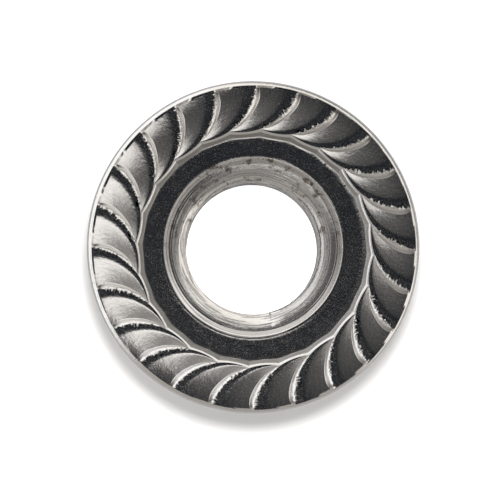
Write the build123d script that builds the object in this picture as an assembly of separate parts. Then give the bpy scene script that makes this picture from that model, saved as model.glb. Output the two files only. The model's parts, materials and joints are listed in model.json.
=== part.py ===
from build123d import *
import math
import os

# Serrated hex flange nut, M10 x 1.5, in the manner of DIN 6923 / ISO 4161.
# It stands on the flat end of its hexagon, serrated face up.
# Origin: centre of the hexagon's end face.  +Z: the thread's axis.  Millimetres and degrees.

# --- driving dimensions ---------------------------------------------------------------------
thread_diameter = 10.0          # nominal, across the roots of the nut's thread
thread_pitch = 1.5
minor_allowance = 0.25          # how much wider the bore is than the basic minor diameter

nut_height = 10.0               # from the hexagon's end face to the tooth crests
across_flats = 15.0
corner_round = 0.35             # radius down each of the six corners
hex_face_diameter = 14.2        # the flat disc that the corner chamfer leaves on the end face
hex_chamfer_angle = 30.0        # chamfer cone, measured from the end face

flange_diameter = 21.4
flange_edge = 1.5               # thickness of the flange at its edge
flange_slope = 25.0             # cone on the hexagon's side, measured from the bearing plane
rim_round_top = 0.3             # rounding of the flange's edge on the serrated side
rim_round_under = 0.55          # rounding of the flange's edge on the hexagon's side

tooth_count = 24
tooth_height = 0.4              # crest above the foot of the next tooth's steep wall
tooth_wall_angle = 53.0         # steep wall, measured from the bearing plane
tooth_crest_land = 0.3          # flat width along each crest
ridge_lean = 6.0                # a ridge's lean off the radius where it leaves the rim
rim_width = 0.33                # smooth band outside the teeth
rim_drop = 0.15                 # how far that band lies below the crests
tooth_end_chamfer = 0.35        # radial length over which the crests fall to the band

ring_width = 1.65               # smooth ring between the countersink and the teeth
ring_drop = 0.1                 # how far the ring lies below the feet of the teeth

lip_width = 0.35                # eased lip round the serrated side's countersink
lip_depth = 0.2
countersink_allowance = 0.8     # countersink diameter over the thread diameter
countersink_angle = 90.0        # full angle of both countersinks

# --- what follows from them -----------------------------------------------------------------
basic_minor = thread_diameter - 1.0825 * thread_pitch       # ISO metric thread form
bore_radius = (basic_minor + minor_allowance) / 2
countersink_radius = (thread_diameter + countersink_allowance) / 2
countersink_depth = (countersink_radius - bore_radius) / math.tan(math.radians(countersink_angle / 2))
lip_radius = countersink_radius + lip_width

flange_radius = flange_diameter / 2
teeth_outer = flange_radius - rim_width
teeth_inner = lip_radius + ring_width
rim_top = nut_height - rim_drop
flange_under = rim_top - flange_edge
ring_top = nut_height - tooth_height - ring_drop

# Seen from above, a ridge is one arc.  It leaves the rim at ridge_lean to the radius and runs
# inward until it just grazes the ring, which fixes the arc's radius and its centre.
lean = math.radians(ridge_lean)
foot_radius = (teeth_outer**2 - teeth_inner**2) / (2 * (teeth_inner - teeth_outer * math.sin(lean)))
arc_centre = Vector(teeth_outer + foot_radius * math.sin(lean), foot_radius * math.cos(lean))

wall_slope = math.tan(math.radians(tooth_wall_angle))
crest_radius = foot_radius - (nut_height - ring_top) / wall_slope
tooth_angle = 360 / tooth_count
tooth_run = math.radians(tooth_angle) * teeth_outer * math.cos(lean) - tooth_height / wall_slope
back_slope = tooth_height / (tooth_run - tooth_crest_land)
seat = min(ring_drop, tooth_crest_land / 2)     # how deep a tooth is let into what it joins


def hexagon():
    """The wrench part: a hexagonal prism with rounded corners, chamfered at its end face."""
    outline = RegularPolygon(across_flats / 2, 6, major_radius=False)
    prism = extrude(fillet(outline.vertices(), corner_round), ring_top)
    face_radius = hex_face_diameter / 2
    rise = across_flats * math.tan(math.radians(hex_chamfer_angle))
    chamfer = Plane.XZ * Polygon(
        (0, 0), (face_radius, 0), (face_radius + across_flats, rise),
        (face_radius + across_flats, rise + ring_top), (0, rise + ring_top), align=None)
    return prism & revolve(chamfer, Axis.Z)


def flange():
    """The flange with its cone below, and a shallow pocket in its top for the teeth."""
    apex = flange_under - flange_radius * math.tan(math.radians(flange_slope))
    section = Polygon(
        (0, apex), (flange_radius, flange_under), (flange_radius, rim_top),
        (teeth_outer, rim_top), (teeth_outer, ring_top), (0, ring_top), align=None)
    under_edge = section.vertices().group_by(Axis.X)[-1].sort_by(Axis.Y)[0]
    section = fillet(under_edge, rim_round_under)
    top_edge = section.vertices().group_by(Axis.X)[-1].sort_by(Axis.Y)[-1]
    section = fillet(top_edge, min(rim_round_top, 0.95 * rim_width))
    return revolve(Plane.XZ * section, Axis.Z)


def tooth():
    """One tooth: a crescent between its own arc and the next one's.

    Turned about the arc's centre, its section has a steep wall outside, a narrow flat crest,
    and a long back that falls away inwards to the foot of the next tooth's wall."""
    base = ring_top - seat
    foot = crest_radius + (nut_height - base) / wall_slope
    back = crest_radius - tooth_crest_land
    fall = back * back_slope
    section = Polygon(
        (0, base - fall), (foot, base - fall), (foot, base), (crest_radius, nut_height),
        (back, nut_height), (0, nut_height - fall), align=None)
    boss = Pos(arc_centre) * revolve(Plane.XZ * section, Axis.Z)

    field = Plane.XZ * Polygon(
        (0, base), (teeth_outer + seat, base), (teeth_outer + seat, rim_top - seat),
        (teeth_outer, rim_top), (teeth_outer - tooth_end_chamfer, nut_height), (0, nut_height),
        align=None)
    next_tooth = Pos(arc_centre.rotate(Axis.Z, tooth_angle)) * Cylinder(crest_radius - seat, 3 * nut_height)
    return (boss & revolve(field, Axis.Z)) - next_tooth


def bore():
    """The tapping hole with a countersink at each end, the serrated one with an eased lip."""
    top_countersink = ring_top - lip_depth
    section = Plane.XZ * Polygon(
        (0, 0), (countersink_radius, 0), (bore_radius, countersink_depth),
        (bore_radius, top_countersink - countersink_depth), (countersink_radius, top_countersink),
        (lip_radius, ring_top), (lip_radius, nut_height), (0, nut_height), align=None)
    return revolve(section, Axis.Z)


def flange_nut():
    """The whole nut as one solid: the two turned and pressed forms, the ring of teeth, the bore."""
    teeth = PolarLocations(0, tooth_count) * tooth()
    return (hexagon() + flange() + teeth) - bore()


if __name__ == "__main__":
    os.makedirs("parts", exist_ok=True)
    nut = flange_nut()
    wall = ring_top - lip_depth - 2 * countersink_depth
    print("ridge arc: radius", round(foot_radius, 3), "centre", round(arc_centre.length, 3), "from the axis")
    print("bore: radius", round(bore_radius, 4), "from", round(countersink_depth, 4), "for", round(wall, 4))
    print("solids", len(nut.solids()), "valid", nut.is_valid)
    export_step(nut, "parts/flange_nut.step")
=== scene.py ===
# %% [markdown]
# # A serrated flange nut
#
# The object is a cold-formed stainless nut: a hexagon to turn it by, a wide coned flange to press
# with, and a ring of small ratchet teeth on the flange that bite the clamped part. This file gives it
# the look of the real thing, step by step. The height, the flange and the hole are read from the CAD
# model, and the finer sizes are named below.

# %% The CAD frame
import json
import math

import bmesh
import bpy
from mathutils import Matrix, Vector, noise


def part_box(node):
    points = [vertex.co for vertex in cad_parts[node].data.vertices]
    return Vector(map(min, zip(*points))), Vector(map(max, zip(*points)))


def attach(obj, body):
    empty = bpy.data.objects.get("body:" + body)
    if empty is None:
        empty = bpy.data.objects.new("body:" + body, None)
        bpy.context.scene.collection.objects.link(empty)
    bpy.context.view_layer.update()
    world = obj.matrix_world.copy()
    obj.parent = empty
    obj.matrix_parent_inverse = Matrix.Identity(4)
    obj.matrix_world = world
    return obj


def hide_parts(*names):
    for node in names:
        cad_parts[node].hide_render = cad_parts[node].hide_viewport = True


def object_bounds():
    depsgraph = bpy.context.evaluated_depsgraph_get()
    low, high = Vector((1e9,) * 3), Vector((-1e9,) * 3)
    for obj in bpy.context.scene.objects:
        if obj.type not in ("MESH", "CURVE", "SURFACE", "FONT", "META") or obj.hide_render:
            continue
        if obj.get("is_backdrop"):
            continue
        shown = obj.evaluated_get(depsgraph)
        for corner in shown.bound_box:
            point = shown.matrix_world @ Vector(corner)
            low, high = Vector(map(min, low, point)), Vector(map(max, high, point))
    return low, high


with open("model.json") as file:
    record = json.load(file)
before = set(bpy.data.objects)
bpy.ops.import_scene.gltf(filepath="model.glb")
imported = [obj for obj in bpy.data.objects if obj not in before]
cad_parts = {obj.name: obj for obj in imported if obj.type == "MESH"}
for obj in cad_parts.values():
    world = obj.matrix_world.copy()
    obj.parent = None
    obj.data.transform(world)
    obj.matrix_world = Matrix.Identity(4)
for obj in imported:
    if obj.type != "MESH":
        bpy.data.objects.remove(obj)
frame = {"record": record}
cad_low, cad_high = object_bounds()
nut_low, nut_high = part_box("flange_nut")
mounts = {mount["name"]: mount for mount in frame["record"]["mounts"]}
MM = 0.001
height = nut_high.z / MM
flange_radius = (nut_high.x - nut_low.x) / 2 / MM
bore_radius = mounts["thread"]["dims"]["r_mm"]
print("nut: height", round(height, 2), "flange radius", round(flange_radius, 2), "bore", bore_radius)

# %% [markdown]
# ## Sizes
#
# A press die makes the serrated face, so a handful of sizes describe it: how many teeth, how high
# they stand, how steep the biting side is, and how far each ridge leans as it leaves the rim. All
# lengths are in millimetres until the body is finished, which keeps the numbers easy to read.

# %% Sizes of the nut
tooth_count = 24
tooth_height = 0.4
wall_slope = math.tan(math.radians(43.5))
ridge_lean = math.radians(6)
rim_width = 0.33
rim_drop = 0.15
ring_drop = 0.1
pitch = 1.5
thread_radius = 5.03
countersink_radius = 5.4
lip_radius = 5.75
lip_depth = 0.2
ring_width = 1.65
hex_inner_radius = 7.5
hex_corner_round = 0.35
hex_face_radius = 7.1
flange_edge = 1.5
flange_slope = math.radians(25)
hex_chamfer = math.radians(30)
crest_overlap = 0.1
wall_ahead = 0.6

turn = math.tau / tooth_count
teeth_outer = flange_radius - rim_width
teeth_inner = lip_radius + ring_width
rim_top = height - rim_drop
ring_top = height - tooth_height - ring_drop
flange_under = rim_top - flange_edge

# %% [markdown]
# ## The arc of a ridge
#
# Seen from above every ridge is the same circular arc. It leaves the rim almost along a radius and
# swings round until it runs along the inner ring. An arc could be drawn as a curve object by eye,
# but a circle's centre and radius are enough here, and they let us ask for any point's distance
# from a ridge. Two neighbouring ridges meet where their circles cross. The set is turned by part of
# a wall's width, so that the first steep wall, and not its crest alone, stands on the X axis.

# %% Ridge arcs
crest_inner = teeth_inner + crest_overlap
lean_out, lean_along = math.sin(ridge_lean), math.cos(ridge_lean)
crest_radius = (teeth_outer**2 - crest_inner**2) / (2 * (crest_inner - teeth_outer * lean_out))
crest_turn = wall_ahead * (tooth_height + ring_drop) / wall_slope / teeth_outer
arc_centre = Vector((teeth_outer + crest_radius * lean_out, crest_radius * lean_along))
arc_centre = Matrix.Rotation(crest_turn, 2) @ arc_centre
arc_far = arc_centre.length
arc_angle = math.atan2(arc_centre.y, arc_centre.x)
next_centre = Matrix.Rotation(turn, 2) @ arc_centre
print("ridge arc: radius", round(crest_radius, 3), "centre", round(arc_far, 3), "from the axis")


def polar(radius, angle):
    """A point in the plane, from its distance and angle."""
    return Vector((radius * math.cos(angle), radius * math.sin(angle)))


def direction(point, centre):
    """The angle at which a point is seen from a centre, kept between 0 and a full turn."""
    return math.atan2(point.y - centre.y, point.x - centre.x) % math.tau


def on_circle(radius, distance):
    """Where a circle about the arc centre crosses a circle about the nut's axis, on the early side."""
    cosine = (arc_far**2 + distance**2 - radius**2) / (2 * arc_far * distance)
    return polar(distance, arc_angle - math.acos(cosine))


def meeting(radius, side):
    """Where equal circles about neighbouring arc centres cross, on the nut's side of the teeth."""
    half = turn / 2
    distance = arc_far * math.cos(half) - math.sqrt(radius**2 - (arc_far * math.sin(half)) ** 2)
    return polar(distance, arc_angle + side * half)


# %% [markdown]
# ## How deep the back of a tooth falls
#
# Beside its crest a tooth has a flat strip, left by the die, and then it falls to the foot of the
# next tooth's steep wall. The fall is measured by how far along a point is between two ridges, which
# makes the surface fade out by itself where the ridges meet. A valley drawn as a plain ramp would be
# as deep near the ring as at the rim. Here it gets shallower as the ridges come closer, and the wall
# gets steeper towards the rim, where the steel flows into the die most freely.

# %% Height of a tooth's back
fade_width = 1.6
widest_gap = 2.7
back_curve = 1.15
crest_flat = 0.25
rim_wall = 0.5
rim_reach = 1.0
rim_fall = 0.01
foot_rounds = 6


def depth_between(gap):
    """How deep the valley is where two neighbouring crests are this far apart."""
    share = (1 - math.exp(-max(gap, 0) / fade_width)) / (1 - math.exp(-widest_gap / fade_width))
    return tooth_height * min(1, share)


def wall_run(gap, distance):
    """How wide the next steep wall is at a distance from the axis. It is narrowest at the rim."""
    share = min(max((teeth_outer - distance) / rim_reach, 0), 1)
    return depth_between(gap) / wall_slope * (rim_wall + (1 - rim_wall) * share * (2 - share))


def ease_to_rim(point, z):
    """The crests end in a short fall, from their own height to that of the smooth band."""
    share = min(max((teeth_outer - point.length) / rim_fall, 0), 1)
    share = share * share * (3 - 2 * share)
    return z if z < rim_top else rim_top + (z - rim_top) * share


def back_height(point):
    """Height of the back of the first tooth at a point between its crest and the next."""
    from_crest = max(crest_radius - (point - arc_centre).length, 0)
    from_next = max((point - next_centre).length - crest_radius, 0)
    gap = from_crest + from_next
    depth = depth_between(gap)
    run = max(gap - wall_run(gap, point.length), 1e-6)
    along = max(min(from_crest / run, 1) - crest_flat, 0) / (1 - crest_flat)
    return ease_to_rim(point, height - depth * along**back_curve)


def foot_of_next_wall(angle):
    """Where the first tooth's back meets the next wall. Each round brings the guess nearer."""
    radius = crest_radius
    for _ in range(foot_rounds):
        point = next_centre + polar(radius, angle)
        gap = crest_radius - (point - arc_centre).length + (point - next_centre).length - crest_radius
        radius = crest_radius + wall_run(gap, point.length)
    return next_centre + polar(radius, angle)


# %% [markdown]
# ## One tooth, laid in three sheets
#
# A tooth has a back, a steep outer wall and an inner wall that curls down to the ring. Cutting them
# from a block with booleans would leave ragged shading, so each is a flat grid that is laid onto its
# place: a grid keeps its rows along the ridge, and rows along a ridge give a clean highlight. The two
# walls are so narrow that each row is placed one by one, by its share of the way across and of the
# height, and together the rows round the wall's foot and both ends of the curl. At the rim the second
# row lies almost on the first, so the backs start with a crisp small step.

# %% Tooth sheets
rows_out = 64
rows_across = 24
rim_step = 0.004
wall_rows = [
    (0, 0), (0.06, 0.035), (0.14, 0.115), (0.3, 0.28), (0.5, 0.487), (0.7, 0.69), (0.86, 0.856), (1, 1),
]
curl_rows = [
    (0, 0), (0.12, 0.05), (0.24, 0.105), (0.36, 0.2), (0.5, 0.42), (0.66, 0.78), (0.83, 0.97), (1, 1),
]
curl_run = 0.32
ring_edge = 7.15

crest_start = on_circle(crest_radius, teeth_outer)
crest_bend = meeting(crest_radius, -1)
crest_end = meeting(crest_radius, 1)
foot_radius = crest_radius + wall_run(widest_gap, teeth_outer)
foot_start = Matrix.Rotation(turn, 2) @ on_circle(foot_radius, teeth_outer)


def spaced(share):
    """Even steps turned into steps that are finer at both ends."""
    return 0.5 - 0.5 * math.cos(math.pi * share)


def after_step(v):
    """Even rows from the rim inwards, but for the second, which is moved out to the rim's step."""
    return 0 if v <= 0 else rim_step + (v - 1 / rows_out) * (1 - rim_step) / (1 - 1 / rows_out)


def crest_out(v):
    """The crest, from the rim to where the ridge before it joins."""
    first, last = direction(crest_start, arc_centre), direction(crest_bend, arc_centre)
    return arc_centre + polar(crest_radius, first + (last - first) * v)


def crest_in(u):
    """The crest, from there to where the next ridge takes over."""
    first, last = direction(crest_bend, arc_centre), direction(crest_end, arc_centre)
    return arc_centre + polar(crest_radius, first + (last - first) * spaced(u))


def next_foot(v):
    """The foot of the next wall, from the rim to where the ridges meet."""
    if v <= 0:
        return foot_start.copy()
    first, last = direction(foot_start, next_centre), direction(crest_end, next_centre)
    return foot_of_next_wall(first + (last - first) * v)


def rim_edge(u):
    """The outer end of the back, along the smooth band."""
    first, last = (math.atan2(p.y, p.x) for p in (crest_start, foot_start))
    return polar(teeth_outer, first + (last - first) * spaced(u))


def lay_back(u, v):
    """The back: the four edges blended across, as a sheet stretched in a bent frame."""
    s = spaced(u)
    v = after_step(v)
    corner = rim_edge(0) * (1 - s) * (1 - v) + rim_edge(1) * s * (1 - v)
    corner += crest_bend * (1 - s) * v + crest_end * s * v
    point = rim_edge(u) * (1 - v) + crest_in(u) * v + crest_out(v) * (1 - s) + next_foot(v) * s - corner
    return point.x, point.y, back_height(point)


def lay_wall(u, v):
    """The steep outer wall, from the foot of it up to the crest."""
    share, rise = wall_rows[round(u * (len(wall_rows) - 1))]
    v = after_step(v)
    foot = Matrix.Rotation(-turn, 2) @ next_foot(v)
    point = foot.lerp(crest_out(v), share)
    low = back_height(next_foot(v))
    high = ease_to_rim(crest_out(v), height)
    return point.x, point.y, low + (high - low) * rise


def lay_curl(u, v):
    """The inner wall, from the crest down to a round edge on the ring."""
    share, drop = curl_rows[round(v * (len(curl_rows) - 1))]
    radius = crest_radius + curl_run * share
    first, last = (direction(meeting(radius, side), arc_centre) for side in (-1, 1))
    point = arc_centre + polar(radius, first + (last - first) * spaced(u))
    point = point.normalized() * (point.length + (ring_edge - point.length) * share * share)
    return point.x, point.y, height - (height - ring_top) * drop


def sheet_of(name, columns, rows, lay):
    """A unit grid whose points are laid, one by one, onto a surface."""
    bpy.ops.object.select_all(action="DESELECT")
    bpy.ops.mesh.primitive_grid_add(x_subdivisions=columns, y_subdivisions=rows, size=1)
    grid = bpy.context.object
    grid.name = name
    for vertex in grid.data.vertices:
        vertex.co = lay(vertex.co.x + 0.5, vertex.co.y + 0.5)
    return grid


def joined(pieces):
    """Several objects made one."""
    bpy.ops.object.select_all(action="DESELECT")
    for piece in pieces:
        piece.select_set(True)
    bpy.context.view_layer.objects.active = pieces[0]
    bpy.ops.object.join()
    return bpy.context.object


back = sheet_of("back", rows_across, rows_out, lay_back)
wall = sheet_of("wall", len(wall_rows) - 1, rows_out, lay_wall)
curl = sheet_of("curl", rows_across, len(curl_rows) - 1, lay_curl)
tooth = joined([back, wall, curl])
tooth.name = "tooth"
print("one tooth:", len(tooth.data.vertices), "points")

# %% [markdown]
# ## Ragged crests
#
# One tooth is copied round the axis and the copies are merged into a ring. Steel doesn't quite fill
# the sharpest part of a die, so real crests are torn into small teeth of their own, and no two are
# alike. A displacement texture would roughen the whole face. Here every point close to a crest is
# drawn back from the edge, by a noise that runs along that crest only, and not at all at its ends. It
# is done after the merging, so that points which two teeth share move as one. The die also sat a
# little off the hole's centre, so the ring is moved aside last.

# %% Ring of teeth
die_offset = Vector((0.1, -0.1))
tear_depth = 0.24
tear_reach = 0.22
tear_back = 0.06
tear_length = 0.06
merge_gap = 0.0005


def torn(where, number):
    """How strongly a crest is torn at a place along it: spikes and a slow drift, with calm stretches."""
    spikes = max(0, 2.4 * noise.noise(Vector((where, number * 7.3, 0.4))))
    drift = 0.25 * noise.noise(Vector((where * 0.3, number * 3.1, 5)))
    patches = max(0.25, 0.8 + 0.9 * noise.noise(Vector((where * 0.07, number * 5.7, 9))))
    return (spikes + drift + 0.1) * patches


def tear_at(point, number):
    """How far one point is drawn back from one crest, and in which direction."""
    centre = Matrix.Rotation(number * turn, 2) @ arc_centre
    offset = point - centre
    inside = crest_radius - offset.length
    first = direction(crest_start, arc_centre)
    sweep = direction(crest_bend, arc_centre) - first
    swung = (direction(point, centre) - first - number * turn + math.pi) % math.tau - math.pi
    along = swung / sweep
    if not 0 < along < 1 or not -tear_back < inside < tear_reach:
        return Vector((0, 0))
    reach = 1 - inside / tear_reach if inside > 0 else 1 + inside / tear_back
    where = along * abs(sweep) * crest_radius / tear_length
    ends = min(1, along / 0.05, (1 - along) / 0.15)
    return offset.normalized() * (-tear_depth * torn(where, number) * ends * reach)


teeth = []
for number in range(tooth_count):
    another = tooth.copy()
    another.data = tooth.data.copy()
    bpy.context.scene.collection.objects.link(another)
    another.data.transform(Matrix.Rotation(number * turn, 4, "Z"))
    teeth.append(another)
bpy.data.objects.remove(tooth)
nut = joined(teeth)
nut.name = "nut"
bpy.ops.object.mode_set(mode="EDIT")
bpy.ops.mesh.select_all(action="SELECT")
bpy.ops.mesh.remove_doubles(threshold=merge_gap)
bpy.ops.mesh.normals_make_consistent(inside=False)
bpy.ops.object.mode_set(mode="OBJECT")
for vertex in nut.data.vertices:
    point = vertex.co.xy.copy()
    newest = math.floor((math.atan2(point.y, point.x) - crest_turn) / turn)
    for number in (newest - 1, newest, newest + 1):
        vertex.co.xy += tear_at(point, number % tooth_count)
nut.data.transform(Matrix.Translation((die_offset.x, die_offset.y, 0)))
print("ring of teeth:", len(nut.data.vertices), "points")

# %% [markdown]
# ## Pulling a loop
#
# The rest of the nut is turned or pressed, so every part of it is a closed line that moves on. The
# open edge of the teeth is extruded again and again, and each new loop is put where the next line of
# the shape lies. A spin would do for the round parts, but the loops can change from the round flange
# to the hexagon on the way, without a seam.

# %% Loop tools
def edit(piece):
    """Opens one piece alone in edit mode, with nothing selected."""
    bpy.ops.object.select_all(action="DESELECT")
    piece.select_set(True)
    bpy.context.view_layer.objects.active = piece
    bpy.ops.object.mode_set(mode="EDIT")
    bpy.ops.mesh.select_mode(type="EDGE")
    bpy.ops.mesh.select_all(action="DESELECT")


def take_open_loop(piece, nearest, farthest):
    """Selects the open edges that lie between two distances from the axis."""
    mesh = bmesh.from_edit_mesh(piece.data)
    for edge in mesh.edges:
        middle = (edge.verts[0].co + edge.verts[1].co) / 2
        edge.select_set(edge.is_boundary and nearest < middle.xy.length < farthest)
    bmesh.update_edit_mesh(piece.data)


def pull(piece, place):
    """Extrudes the selected loop and puts its points, in their order round the axis, by a rule."""
    bpy.ops.mesh.extrude_region()
    mesh = bmesh.from_edit_mesh(piece.data)
    moved = [vertex for vertex in mesh.verts if vertex.select]
    moved.sort(key=lambda vertex: math.atan2(vertex.co.y, vertex.co.x) % math.tau)
    for order, vertex in enumerate(moved):
        vertex.co = place(vertex.co.copy(), order / len(moved))
    bmesh.update_edit_mesh(piece.data)


def ring(radius, z):
    """A rule that keeps each point's direction and sets its distance and height."""
    def place(point, share):
        flat = point.xy.normalized() * radius
        return Vector((flat.x, flat.y, z))
    return place


# %% [markdown]
# ## The flange
#
# The teeth stop at a smooth narrow band, the rim. The steel spreads freely there, so the band slopes
# down in a curve that gets steeper towards the edge, and below the edge an arc leads round to the
# underside. A bevel would be too even for it, so the band's loops are listed, by how far out and how
# far down they lie. Underneath, the flange is a shallow cone that runs in to the hexagon.

# %% Rim and cone
rim_profile = [
    (0.02, 0.002), (0.05, 0.025), (0.12, 0.065), (0.18, 0.108),
    (0.23, 0.155), (0.27, 0.22), (0.31, 0.34), (0.33, 0.47),
]
round_under = 0.55
under_steps = 5


def cone_height(radius):
    """Height of the flange's underside at a distance from the axis."""
    return flange_under - (flange_radius - radius) * math.tan(flange_slope)


edit(nut)
take_open_loop(nut, teeth_outer - 0.5, flange_radius)
for out, down in rim_profile:
    pull(nut, ring(teeth_outer + out, rim_top - down))
reach = round_under * math.tan((math.pi / 2 - flange_slope) / 2)
under_centre = (flange_radius - round_under, flange_under + reach)
for step in range(under_steps + 1):
    turned = (flange_slope - math.pi / 2) * step / under_steps
    out, up = round_under * math.cos(turned), round_under * math.sin(turned)
    pull(nut, ring(under_centre[0] + out, under_centre[1] + up))
print("flange reaches", round(under_centre[0] + round_under, 2), "mm")

# %% [markdown]
# ## The hexagon
#
# Below the cone the loop leaves the circle and lies down on a hexagon with small rounded corners.
# The steel flows round the die's edge there, so a soft hollow joins cone and flats. The lower end of
# the hexagon is turned to a shallow cone, and where that cone meets the flats it draws the curved
# lines that every nut has. A cylinder with six sides and a boolean would give those lines too, but
# not the hollow, so the loop simply follows a rule for each line on its way down.

# %% Hexagon
hollow = 0.255
corner_columns = 10
cone_loops = [(9.7, 0.33), (9.3, 0.66)]
chamfer_edge = 0.03
face_seam = 6.2


def hexagon_point(share):
    """A point of the hexagon's outline and the direction out of it, from 0 to 1 round the axis."""
    sector, inside = divmod(share * 6, 1)
    columns = len(nut_columns) / 6
    corner_share = corner_columns / columns
    reach = (hex_inner_radius - hex_corner_round) / math.cos(math.pi / 6)
    if inside < corner_share or inside > 1 - corner_share:
        near = sector if inside < 0.5 else sector + 1
        lean = inside / corner_share if inside < 0.5 else (inside - 1) / corner_share
        middle = polar(reach, near * math.pi / 3)
        outwards = polar(1, near * math.pi / 3 + lean * math.pi / 6)
        return middle + outwards * hex_corner_round, outwards
    first, last = (polar(reach, (sector + i) * math.pi / 3) for i in (0, 1))
    outwards = polar(1, (sector + 0.5) * math.pi / 3)
    along = (inside - corner_share) / (1 - 2 * corner_share)
    return first.lerp(last, along) + outwards * hex_corner_round, outwards


def on_cone(radius, mix):
    """A rule for a ring of the underside, part of the way from the rim's columns to the hexagon's."""
    def place(point, share):
        outline = hexagon_point(share)[0]
        flat = (point.xy.normalized() * (1 - mix) + outline.normalized() * mix).normalized() * radius
        return Vector((flat.x, flat.y, cone_height(radius)))
    return place


def in_hollow(part):
    """A rule for a line of the hollow: 0 lies on the cone and 1 on the flat."""
    def place(point, share):
        outline, outwards = hexagon_point(share)
        far = outline + outwards * hollow * math.cos(flange_slope)
        flat = far * (1 - part) ** 2 + outline * (2 * part * (1 - part) + part**2)
        high, low = cone_height(far.length), cone_height(outline.length)
        z = high * (1 - part) ** 2 + low * 2 * part * (1 - part) + (low - hollow) * part**2
        return Vector((flat.x, flat.y, z))
    return place


def down_flat(part):
    """A rule for a line on the flats: 0 is under the hollow and 1 is where the end cone cuts them."""
    def place(point, share):
        outline = hexagon_point(share)[0]
        high = cone_height(outline.length) - hollow
        low = max(0, (outline.length - hex_face_radius) * math.tan(hex_chamfer))
        return Vector((outline.x, outline.y, high + (low - high) * part))
    return place


mesh = bmesh.from_edit_mesh(nut.data)
nut_columns = [vertex for vertex in mesh.verts if vertex.select]
for radius, mix in cone_loops:
    pull(nut, on_cone(radius, mix))
for part in (0, 0.25, 0.5, 0.75, 1):
    pull(nut, in_hollow(part))
for part in (0.25, 0.6, 0.9, 0.985, 1):
    pull(nut, down_flat(part))
for radius in (hex_face_radius + chamfer_edge, hex_face_radius, hex_face_radius - chamfer_edge, face_seam):
    pull(nut, ring(radius, max(0, (radius - hex_face_radius) * math.tan(hex_chamfer))))
bpy.ops.object.mode_set(mode="OBJECT")
print("teeth, flange and hexagon:", len(nut.data.polygons), "faces")

# %% [markdown]
# ## The ring inside the teeth
#
# Between the teeth and the hole lies a smooth ring. The die presses it flat, but for a very shallow
# dip near the teeth. A disc with a hole would do, but the open inner edge of the teeth already has
# the right columns, so it is pulled in twice, and the bore will be joined to what is left open.

# %% Ring inside the teeth
ring_loops = [(6.95, -0.004), (6.62, 0)]
edit(nut)
take_open_loop(nut, teeth_inner - 0.6, teeth_inner + 0.6)
for radius, up in ring_loops:
    pull(nut, ring(radius, ring_top + up))
bpy.ops.object.mode_set(mode="OBJECT")
print("ring open inwards at radius", ring_loops[-1][0])

# %% [markdown]
# ## The bore
#
# The hole is drilled, countersunk at both ends and then tapped. The lesson does the same: a tube has
# the drilled shape, a tap with its helical ridge is made on its own, and a boolean cuts one from the
# other. The line where thread and countersink cross is too twisted to draw by hand, and here it comes
# out by itself. On the serrated side the tools leave more lines: a very fine burr round the edge, a
# sloping lip, a groove below it, and then a countersink that is shallow first and steeper further in.

# %% Tube with both countersinks
bore_columns = 144
tube_radius = 6.1
groove = 0.025
soft = 0.02
end_edge = 0.03
lip_bottom = ring_top - lip_depth
sink_middle = 4.56
sink_shoulder = (countersink_radius - sink_middle) * math.tan(math.radians(27))
sink_depth = sink_shoulder + (sink_middle - bore_radius) * math.tan(math.radians(40))
burr_and_lip = [
    (5.97, 0), (5.935, 0.006), (5.9, 0.01), (5.86, 0.006),
    (5.81, 0.002), (5.765, -0.012), (5.735, -0.032), (5.6, -0.1),
]
bpy.ops.object.select_all(action="DESELECT")
bpy.ops.mesh.primitive_circle_add(vertices=bore_columns, radius=tube_radius)
tube = bpy.context.object
tube.name = "tube"
tube.data.transform(Matrix.Translation((0, 0, ring_top)))
edit(tube)
bpy.ops.mesh.select_all(action="SELECT")
lines = [(radius, ring_top + up) for radius, up in burr_and_lip]
lines += [
    (countersink_radius + 2 * groove, lip_bottom + groove), (countersink_radius + soft, lip_bottom - soft),
    (countersink_radius - soft, lip_bottom - groove), (sink_middle + soft, lip_bottom - sink_shoulder),
    (sink_middle - soft, lip_bottom - sink_shoulder - soft),
    (bore_radius + soft, lip_bottom - sink_depth + soft), (bore_radius, lip_bottom - sink_depth - soft),
    (bore_radius, sink_depth + soft), (bore_radius + soft, sink_depth - soft),
    (countersink_radius - end_edge, end_edge), (countersink_radius + end_edge, 0), (tube_radius, 0),
]
for radius, z in lines:
    pull(tube, ring(radius, z))
bpy.ops.mesh.select_all(action="DESELECT")
take_open_loop(tube, tube_radius - 0.1, tube_radius + 0.1)
bpy.ops.mesh.bridge_edge_loops()
bpy.ops.mesh.select_all(action="SELECT")
bpy.ops.mesh.normals_make_consistent(inside=False)
bpy.ops.object.mode_set(mode="OBJECT")
print("tube:", len(tube.data.polygons), "faces")

# %% [markdown]
# ## The tap
#
# A real tap is a hardened screw whose ridge carves the thread. Its ridge could be swept along a
# helix curve, but the Screw modifier does it in one go: it carries a small four-sided section round
# and up, and one turn lifts it by the pitch. The section is widest at its foot, and the foot stays
# inside the hole, where there is nothing to cut.

# %% Tap
thread_phase = math.radians(315)
tap_foot = 3.95
tap_start = -1.2
tap_turns = 8
tap_steps = 72
tap_round = 0.03
half_root = pitch / 16
half_foot = half_root + (thread_radius - tap_foot) * math.tan(math.radians(30))
bpy.ops.object.select_all(action="DESELECT")
bpy.ops.mesh.primitive_plane_add(size=1)
tap = bpy.context.object
tap.name = "tap"
section = [
    (tap_foot, half_foot), (tap_foot, -half_foot), (thread_radius, -half_root), (thread_radius, half_root),
]
corners = sorted(tap.data.vertices, key=lambda vertex: math.atan2(vertex.co.y, vertex.co.x) % math.tau)
order = [corners[1], corners[2], corners[3], corners[0]]
for vertex, (radius, z) in zip(order, section):
    vertex.co = (radius, 0, z + tap_start)
edit(tap)
bpy.ops.mesh.select_all(action="SELECT")
bpy.ops.mesh.bevel(offset=tap_round, segments=2, affect="VERTICES")
bpy.ops.object.mode_set(mode="OBJECT")
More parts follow.
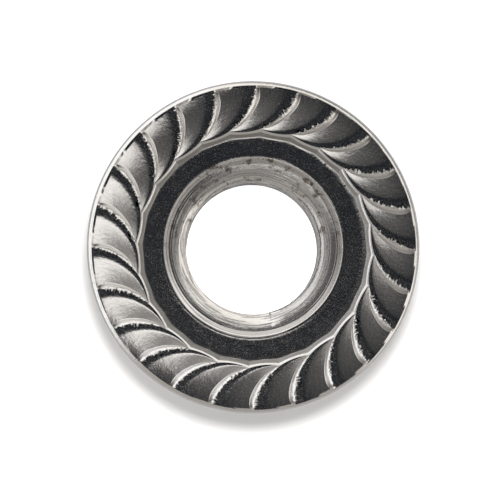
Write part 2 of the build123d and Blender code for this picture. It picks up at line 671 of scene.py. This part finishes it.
carry = tap.modifiers.new("carry", "SCREW")
carry.axis = "Z"
carry.angle = math.tau
carry.screw_offset = pitch
carry.iterations = tap_turns
carry.steps = carry.render_steps = tap_steps
carry.use_smooth_shade = False
bpy.ops.object.modifier_apply(modifier="carry")
edit(tap)
bpy.ops.mesh.select_all(action="SELECT")
bpy.ops.mesh.remove_doubles(threshold=0.0001)
bpy.ops.mesh.select_all(action="DESELECT")
bpy.ops.mesh.select_non_manifold(
    extend=False, use_wire=False, use_boundary=True,
    use_multi_face=False, use_non_contiguous=False, use_verts=False,
)
bpy.ops.mesh.edge_face_add()
bpy.ops.mesh.select_all(action="SELECT")
bpy.ops.mesh.normals_make_consistent(inside=False)
bpy.ops.object.mode_set(mode="OBJECT")
tap.data.transform(Matrix.Rotation(thread_phase, 4, "Z"))
tap_check = bmesh.new()
tap_check.from_mesh(tap.data)
open_edges = [edge for edge in tap_check.edges if not edge.is_manifold]
print("tap:", len(tap_check.faces), "faces, open edges", len(open_edges))
tap_check.free()

# %% [markdown]
# ## Cutting the thread
#
# The tap is taken away from the tube, as it would be in the tapping machine. The tube was closed for
# this, because a boolean needs a solid body. Its outer skin has done its work then, and the faces
# that lie on it are deleted.

# %% Tapped bore
bpy.ops.object.select_all(action="DESELECT")
bpy.context.view_layer.objects.active = tube
tube.select_set(True)
cut = tube.modifiers.new("cut", "BOOLEAN")
cut.operation = "DIFFERENCE"
cut.solver = "EXACT"
cut.object = tap
bpy.ops.object.modifier_apply(modifier="cut")
bpy.data.objects.remove(tap)
edit(tube)
bpy.ops.mesh.select_mode(type="FACE")
mesh = bmesh.from_edit_mesh(tube.data)
for face in mesh.faces:
    face.select_set(min(vertex.co.xy.length for vertex in face.verts) > tube_radius - 0.01)
bmesh.update_edit_mesh(tube.data)
bpy.ops.mesh.delete(type="FACE")
bpy.ops.object.mode_set(mode="OBJECT")
print("tapped bore:", len(tube.data.polygons), "faces")

# %% [markdown]
# ## One body
#
# Pressed and tapped from one slug, the nut has no seams. The bore still has to be joined to the rest
# at two round gaps, one on the ring and one on the end face. A boolean union could do it, but both
# gaps lie in flat places, so bridging them, from many columns to fewer, is simpler and doesn't show.

# %% Joining
seam_reach = 0.1
weld_gap = 0.0003
sharp_from = math.radians(28)
nut = joined([nut, tube])
for level in (0, ring_top):
    edit(nut)
    mesh = bmesh.from_edit_mesh(nut.data)
    for edge in mesh.edges:
        middle = (edge.verts[0].co + edge.verts[1].co) / 2
        edge.select_set(edge.is_boundary and abs(middle.z - level) < seam_reach)
    bmesh.update_edit_mesh(nut.data)
    bpy.ops.mesh.bridge_edge_loops()
    bpy.ops.object.mode_set(mode="OBJECT")
edit(nut)
bpy.ops.mesh.select_all(action="SELECT")
bpy.ops.mesh.remove_doubles(threshold=weld_gap)
bpy.ops.mesh.normals_make_consistent(inside=False)
bpy.ops.object.mode_set(mode="OBJECT")
nut.data.transform(Matrix.Scale(MM, 4))
bpy.ops.object.select_all(action="DESELECT")
nut.select_set(True)
bpy.context.view_layer.objects.active = nut
bpy.ops.object.shade_smooth_by_angle(angle=sharp_from)
nut_check = bmesh.new()
nut_check.from_mesh(nut.data)
triangles = sum(len(face.verts) - 2 for face in nut_check.faces)
open_edges = [edge for edge in nut_check.edges if not edge.is_manifold]
volume = nut_check.calc_volume() / MM**3
print("nut:", triangles, "triangles, open edges", len(open_edges), "volume", round(volume, 1), "mm3")
nut_check.free()

# %% [markdown]
# ## Writing shader maths
#
# Materials are worked out with small sums. They could be built from Math nodes one at a time, but
# such chains are hard to read. The first class here wraps a socket, so that a sum written in Python
# adds its nodes by itself. The second holds a node tree and has one method that makes any other node.

# %% Shader maths
class Worth:
    """A socket that can be added, multiplied and compared like a number."""

    def __init__(self, board, socket):
        self.board, self.socket = board, socket

    def maths(self, operation, *values):
        """One Math node."""
        return self.board.node("ShaderNodeMath", {"operation": operation}, dict(enumerate(values)))

    def __add__(self, other):
        return self.maths("ADD", self, other)

    def __sub__(self, other):
        return self.maths("SUBTRACT", self, other)

    def __rsub__(self, other):
        return self.maths("SUBTRACT", other, self)

    def __mul__(self, other):
        return self.maths("MULTIPLY", self, other)

    def __truediv__(self, other):
        return self.maths("DIVIDE", self, other)

    def __pow__(self, other):
        return self.maths("POWER", self, other)

    __radd__, __rmul__ = __add__, __mul__

    def kept(self):
        """The value held between 0 and 1."""
        return self.board.node("ShaderNodeClamp", {}, {0: self})

    def between(self, low, high):
        """A soft step: 0 below the first value and 1 above the second."""
        settings = {"interpolation_type": "SMOOTHSTEP"}
        inputs = {"Value": self, "From Min": low, "From Max": high}
        return self.board.node("ShaderNodeMapRange", settings, inputs)


class Board:
    """The nodes of one material or of the world."""

    def __init__(self, owner):
        owner.use_nodes = True
        self.tree = owner.node_tree
        self.tree.nodes.clear()

    def node(self, kind, settings, inputs, output=0):
        """Adds a node, sets it up, then gives its sockets values or links."""
        made = self.tree.nodes.new(kind)
        for name, value in settings.items():
            setattr(made, name, value)
        for name, value in inputs.items():
            if isinstance(value, Worth):
                self.tree.links.new(value.socket, made.inputs[name])
            else:
                made.inputs[name].default_value = value
        return Worth(self, made.outputs[output]) if made.outputs else made

    def place(self):
        """The point's place on the object, in millimetres."""
        here = self.node("ShaderNodeTexCoord", {}, {}, "Object")
        return self.node("ShaderNodeVectorMath", {"operation": "SCALE"}, {0: here, "Scale": 1 / MM})

    def parts(self, vector):
        """The three numbers of a vector."""
        split = self.node("ShaderNodeSeparateXYZ", {}, {0: vector})
        return [Worth(self, output) for output in split.socket.node.outputs]

    def vector(self, x, y, z):
        """Three numbers made a vector."""
        return self.node("ShaderNodeCombineXYZ", {}, {0: x, 1: y, 2: z})

    def noise(self, where, scale, detail=2.0, roughness=0.5):
        """Cloudy noise between 0 and 1."""
        inputs = {"Vector": where, "Scale": scale, "Detail": detail, "Roughness": roughness}
        return self.node("ShaderNodeTexNoise", {}, inputs)

    def mix(self, factor, first, second):
        """One colour or another, or something between."""
        made = self.node("ShaderNodeMix", {"data_type": "RGBA"}, {0: factor}, 2)
        for index, value in ((6, first), (7, second)):
            if isinstance(value, Worth):
                self.tree.links.new(value.socket, made.socket.node.inputs[index])
            else:
                made.socket.node.inputs[index].default_value = value
        return made


print("shader maths ready")

# %% [markdown]
# ## The finish of cold-formed stainless steel
#
# The nut isn't polished. A die pressed its face, so it carries the die's fine radial drag marks,
# small pits and a slightly uneven gloss. The corner where teeth and ring meet is rougher, and it is
# also painted a darker grey there, which is painted shade in that crease. The hole and its
# countersinks are cut by tools that turn, so their marks run round, and brown blotches of soot from
# burnt oil lie in them. The blotches are kept to the bore's +Y side, so that side is darker, and this
# is painted shade. An image texture could show all this from one side only. Noise that is stretched
# along or across the radius gives both kinds of marks everywhere, and a mask by distance from the
# axis says where the cut part ends.

# %% Stainless steel
bright_steel, dull_steel = (0.72, 0.71, 0.7, 1), (0.62, 0.61, 0.6, 1)
# The corner grey is painted shade for the crease between teeth and ring. The soot brown is soot, and it is
# also painted shade on the bore's +Y side.
pit_grey, corner_shade_grey, soot_and_shade_brown = (0.36, 0.35, 0.35, 1), (0.15, 0.14, 0.13, 1), (0.14, 0.11, 0.09, 1)
cut_end = (5.88, 5.95)
corner_low, corner_high = 9.5, 9.94
corner_inner, corner_outer = 6.9, 7.75
relief_depth = 0.014
steel = bpy.data.materials.new("stainless_steel")
board = Board(steel)
point = board.place()
x, y, z = board.parts(point)
radius = (x * x + y * y) ** 0.5
outwards = board.node("ShaderNodeVectorMath", {"operation": "NORMALIZE"}, {0: board.vector(x, y, 0.0)})
nx, ny = board.parts(outwards)[:2]

turned = board.vector(radius * 9.0, z * 9.0, nx * 0.6)
turn_marks = board.noise(turned, 1.6, 3.0, 0.6)
drag = board.vector(nx * 60.0, ny * 60.0, radius * 2.0)
drag_marks = board.noise(drag, 1.0, 2.0, 0.6)
grain = board.noise(point, 9.0, 3.0, 0.65)
peel = board.noise(point, 4.0, 2.0, 0.5)
clouds = board.noise(point, 0.9, 3.0, 0.6)
specks = board.noise(point, 15.0, 2.0, 0.7).between(0.62, 0.74)
pits = (board.noise(point, 3.5, 3.0, 0.75) - 0.62).between(0.0, 0.1)
cut_zone = 1 - radius.between(*cut_end)
cut_lines = board.noise(turned, 0.8, 2.0, 0.5).between(0.52, 0.58) * cut_zone
# Soot blotches in the cut part. They are kept to the bore's +Y side, and this darker side is painted shade.
soot_and_shade = board.noise(point, 1.5, 4.0, 0.7).between(0.52, 0.66) * cut_zone * ny.between(-0.3, 0.5)

# The corner mask marks the crease where teeth and ring meet. There it makes the steel rougher and paints
# shade into it.
corner = (corner_high - z).between(0.0, 0.1) * (z - corner_low).between(-0.02, 0.05)
corner = corner * (corner_outer - radius).between(0.0, 0.2)
corner = (corner * (radius - corner_inner).between(0.0, 0.2)).kept()
rough = 0.1 + 0.1 * clouds + 0.08 * grain + 0.1 * pits + 0.16 * specks + 0.35 * corner
shade = board.mix((0.25 + 0.9 * (clouds - 0.35)).kept(), bright_steel, dull_steel)
shade = board.mix((pits * 0.35).kept(), shade, pit_grey)
# Painted shade: the crease between teeth and ring is darkened towards a dark grey.
shade = board.mix(corner * 0.45, shade, corner_shade_grey)
# Tool lines and soot darken the steel towards brown. On the bore's +Y side this brown is painted shade.
shade = board.mix((0.3 * cut_lines + 0.8 * soot_and_shade).kept(), shade, soot_and_shade_brown)
relief = grain * (0.35 - 0.25 * cut_zone) + peel * 0.7 + drag_marks * 0.3 + turn_marks * 0.2 + cut_lines * 0.6
bump = board.node("ShaderNodeBump", {}, {"Strength": 0.8, "Distance": relief_depth * MM, "Height": relief})
metal = board.node("ShaderNodeBsdfPrincipled", {}, {
    "Base Color": shade, "Metallic": 1.0, "Roughness": rough.kept(), "Normal": bump,
})
board.node("ShaderNodeOutputMaterial", {}, {"Surface": metal})
nut.data.materials.clear()
nut.data.materials.append(steel)
print("steel:", len(board.tree.nodes), "nodes")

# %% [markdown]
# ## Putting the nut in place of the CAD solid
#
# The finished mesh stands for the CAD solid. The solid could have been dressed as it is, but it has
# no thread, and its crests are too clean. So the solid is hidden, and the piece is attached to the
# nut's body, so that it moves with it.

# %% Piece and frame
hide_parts("flange_nut")
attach(nut, "root")
print("nut stands for flange_nut")

# %% [markdown]
# ## Floor
#
# A plain white floor carries the nut. It could be kept white with brighter lamps, but they would
# wash out the shadow. So the floor is matt and takes the shadow, and glows for the camera alone: a
# little near the nut, where the shadow lies, and almost fully far off and inside the hole, where no
# shadow is wanted. In reflections the floor is dimmer, because a white one would make the nut's
# upright sides vanish in front of it.

# %% Floor
floor_size = 1.6
shadow_inner = (6.0, 7.5)
shadow_outer = (30.0, 120.0)
bpy.ops.object.select_all(action="DESELECT")
bpy.ops.mesh.primitive_plane_add(size=floor_size)
floor = bpy.context.object
floor.name = "floor"
paper = bpy.data.materials.new("white_paper")
board = Board(paper)
ways = board.node("ShaderNodeLightPath", {}, {})
seen = Worth(board, ways.socket.node.outputs["Is Camera Ray"])
mirrored = Worth(board, ways.socket.node.outputs["Is Glossy Ray"])
across, along = board.parts(board.place())[:2]
from_axis = (across * across + along * along) ** 0.5
in_hole = 1 - from_axis.between(*shadow_inner)
far_off = from_axis.between(*shadow_outer)


def matt(grey):
    """A matt surface."""
    return board.node("ShaderNodeBsdfDiffuse", {}, {"Color": (grey, grey, grey, 1)})


def glow(strength):
    """A plain white light from the surface itself."""
    return board.node("ShaderNodeEmission", {}, {"Color": (1, 1, 1, 1), "Strength": strength})


def either(factor, first, second):
    """One surface or light or another, or something between."""
    return board.node("ShaderNodeMixShader", {}, {0: factor, 1: first, 2: second})


white_glow = either((in_hole + far_off).kept(), glow(0.1), glow(0.97))
lit = either(seen, glow(0.0), white_glow)
bright = board.node("ShaderNodeAddShader", {}, {0: matt(0.8), 1: lit})
dim = board.node("ShaderNodeAddShader", {}, {0: matt(0.3), 1: glow(0.12)})
board.node("ShaderNodeOutputMaterial", {}, {"Surface": either(mirrored, bright, dim)})
floor.data.materials.append(paper)
floor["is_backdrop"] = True
print("floor at height 0")

# %% [markdown]
# ## Light
#
# Bare metal shows its surroundings more than its own colour, so the studio is what makes it look
# like steel. Panels and cards could stand round the nut, but each would have to be placed by trial.
# Here the world itself holds the studio, by direction, so what a face shows depends only on how it
# leans. Above it is dark, where the viewer stands, so flat faces turn black. On one side a bright
# table reaches up to there, and every slope that leans to it lights up. Lower down follow a band of
# shelf and window, and then pale walls with a dark gap. Each is laid over the one before it by a
# soft step on the direction.

# %% Studio
world = bpy.data.worlds.new("studio")
bpy.context.scene.world = world
board = Board(world)
way = board.node("ShaderNodeTexCoord", {}, {}, "Generated")
wx, wy, wz = board.parts(way)
ways = board.node("ShaderNodeLightPath", {}, {})
seen = Worth(board, ways.socket.node.outputs["Is Camera Ray"])


def backdrop(colour, strength):
    """A plain light of one colour."""
    return board.node("ShaderNodeBackground", {}, {"Color": (*colour, 1), "Strength": strength})


tiny = 0.0001
middle_band = (0.64, 0.74)
low_band = (0.42, 0.48)
gap_band = (0.2, 0.3)
aside = (1 - wz * wz).kept() ** 0.5
north = wy / (aside + tiny)
east = wx / (aside + tiny)
north_east = (wx + wy) * math.sqrt(0.5) / (aside + tiny)

above = backdrop((0.6, 0.75, 1.0), 0.018)
haze = backdrop((1.0, 0.98, 0.96), 0.1)
table = backdrop((1.0, 0.97, 0.94), 1.45)
table_far = backdrop((1.0, 0.96, 0.92), 0.28)
shelf = backdrop((1.0, 0.95, 0.9), 0.45)
north_light = backdrop((1.0, 0.98, 0.95), 1.25)
walls = backdrop((1.0, 1.0, 1.0), 1.5)
cream = backdrop((1.0, 0.96, 0.9), 1.4)
near_table = backdrop((1.0, 0.95, 0.88), 0.5)
gap = backdrop((0.9, 0.95, 1.0), 0.14)
white = backdrop((1, 1, 1), 1.0)

studio = either(aside.between(0.3, 0.6), above, haze)
table_light = either(aside.between(0.4, 0.6), table, table_far)
over_edge = (-1 * wy / (wz + tiny)).between(0.17, 0.23)
table_side = over_edge * (1 - (wx + 0.5 * wy).between(-0.03, 0.05))
studio = either(table_side, studio, table_light)
middle = either(north.between(0.1, 0.75), shelf, north_light)
studio = either(1 - wz.between(*middle_band), studio, middle)
low_walls = either((east + 0.3 * north).between(-0.2, 0.2), walls, cream)
low_walls = either((-1 * north).between(0.45, 0.8), low_walls, near_table)
in_gap = north_east.between(0.5, 0.9) * (1 - wz.between(*gap_band))
low_walls = either(in_gap, low_walls, gap)
studio = either(1 - wz.between(*low_band), studio, low_walls)
board.node("ShaderNodeOutputWorld", {}, {"Surface": either(seen, studio, white)})
print("studio:", len(board.tree.nodes), "nodes")

# %% [markdown]
# ## Lamps
#
# A shadow needs a lamp. A sun's shadow would be too hard and the sky's alone too faint, so two soft
# discs hang at the same place above the nut: a small one for the core of the shadow and a wide one
# for its skirt. Reflections don't see them, because the studio already gives the steel its lights.

# %% Lamps
lamp_place = (0, 0.015, 0.2)
bpy.ops.object.select_all(action="DESELECT")
bpy.ops.object.light_add(type="AREA", location=lamp_place)
lamp = bpy.context.object
lamp.name = "soft_lamp"
lamp.data.shape = "DISK"
lamp.data.size = 0.024
lamp.data.energy = 0.38
lamp.rotation_euler = (-lamp.location).to_track_quat("-Z", "Y").to_euler()
lamp.visible_glossy = False
lamp.visible_camera = False
wide = lamp.copy()
wide.data = lamp.data.copy()
wide.name = "wide_lamp"
wide.data.size = 0.2
wide.data.energy = 0.085
bpy.context.scene.collection.objects.link(wide)
for light in (lamp, wide):
    print(light.name, round(light.data.size, 3), "m wide,", round(light.data.energy, 3), "W")

# %% [markdown]
# ## Camera
#
# A product shot of a nut is taken from above with a long lens, which keeps the round flange round. A
# short lens close by would show too much of the hole's wall. This one stands a little to one side, so
# the wall shows as a thin crescent, and is rolled a little. Its place is given by two small angles
# from straight above, and its matrix is put together from them.

# %% Camera
aim = Vector((-0.199, -0.206, 9.7)) * MM
sideways, downwards = math.radians(0.64), math.radians(1.54)
towards = Vector((-math.sin(sideways), -math.sin(downwards), 1)).normalized()
stand_off = 280
view_width = 32.13
distance = stand_off * MM
roll = math.radians(2.2)
bpy.ops.object.camera_add()
camera = bpy.context.object
camera.name = "camera"
camera.data.lens = camera.data.sensor_width * stand_off / view_width
camera.data.clip_start = 0.01
right = Vector((math.cos(roll), math.sin(roll), 0))
upwards = towards.cross(right).normalized()
right = upwards.cross(towards)
camera.matrix_world = Matrix((
    (right.x, upwards.x, towards.x, aim.x + towards.x * distance),
    (right.y, upwards.y, towards.y, aim.y + towards.y * distance),
    (right.z, upwards.z, towards.z, aim.z + towards.z * distance),
    (0, 0, 0, 1),
))
bpy.context.scene.camera = camera
bpy.context.scene.view_settings.view_transform = "Standard"
print("camera lens", round(camera.data.lens), "mm")

# %% [markdown]
# ## Sizes
#
# The dressed nut must fill the same box as the CAD model. Both boxes are printed.

# %% Sizes and finish
seen_low, seen_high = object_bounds()
for name, size in (("CAD", cad_high - cad_low), ("visual", seen_high - seen_low)):
    print(name, "size", [round(value / MM, 3) for value in size], "mm")
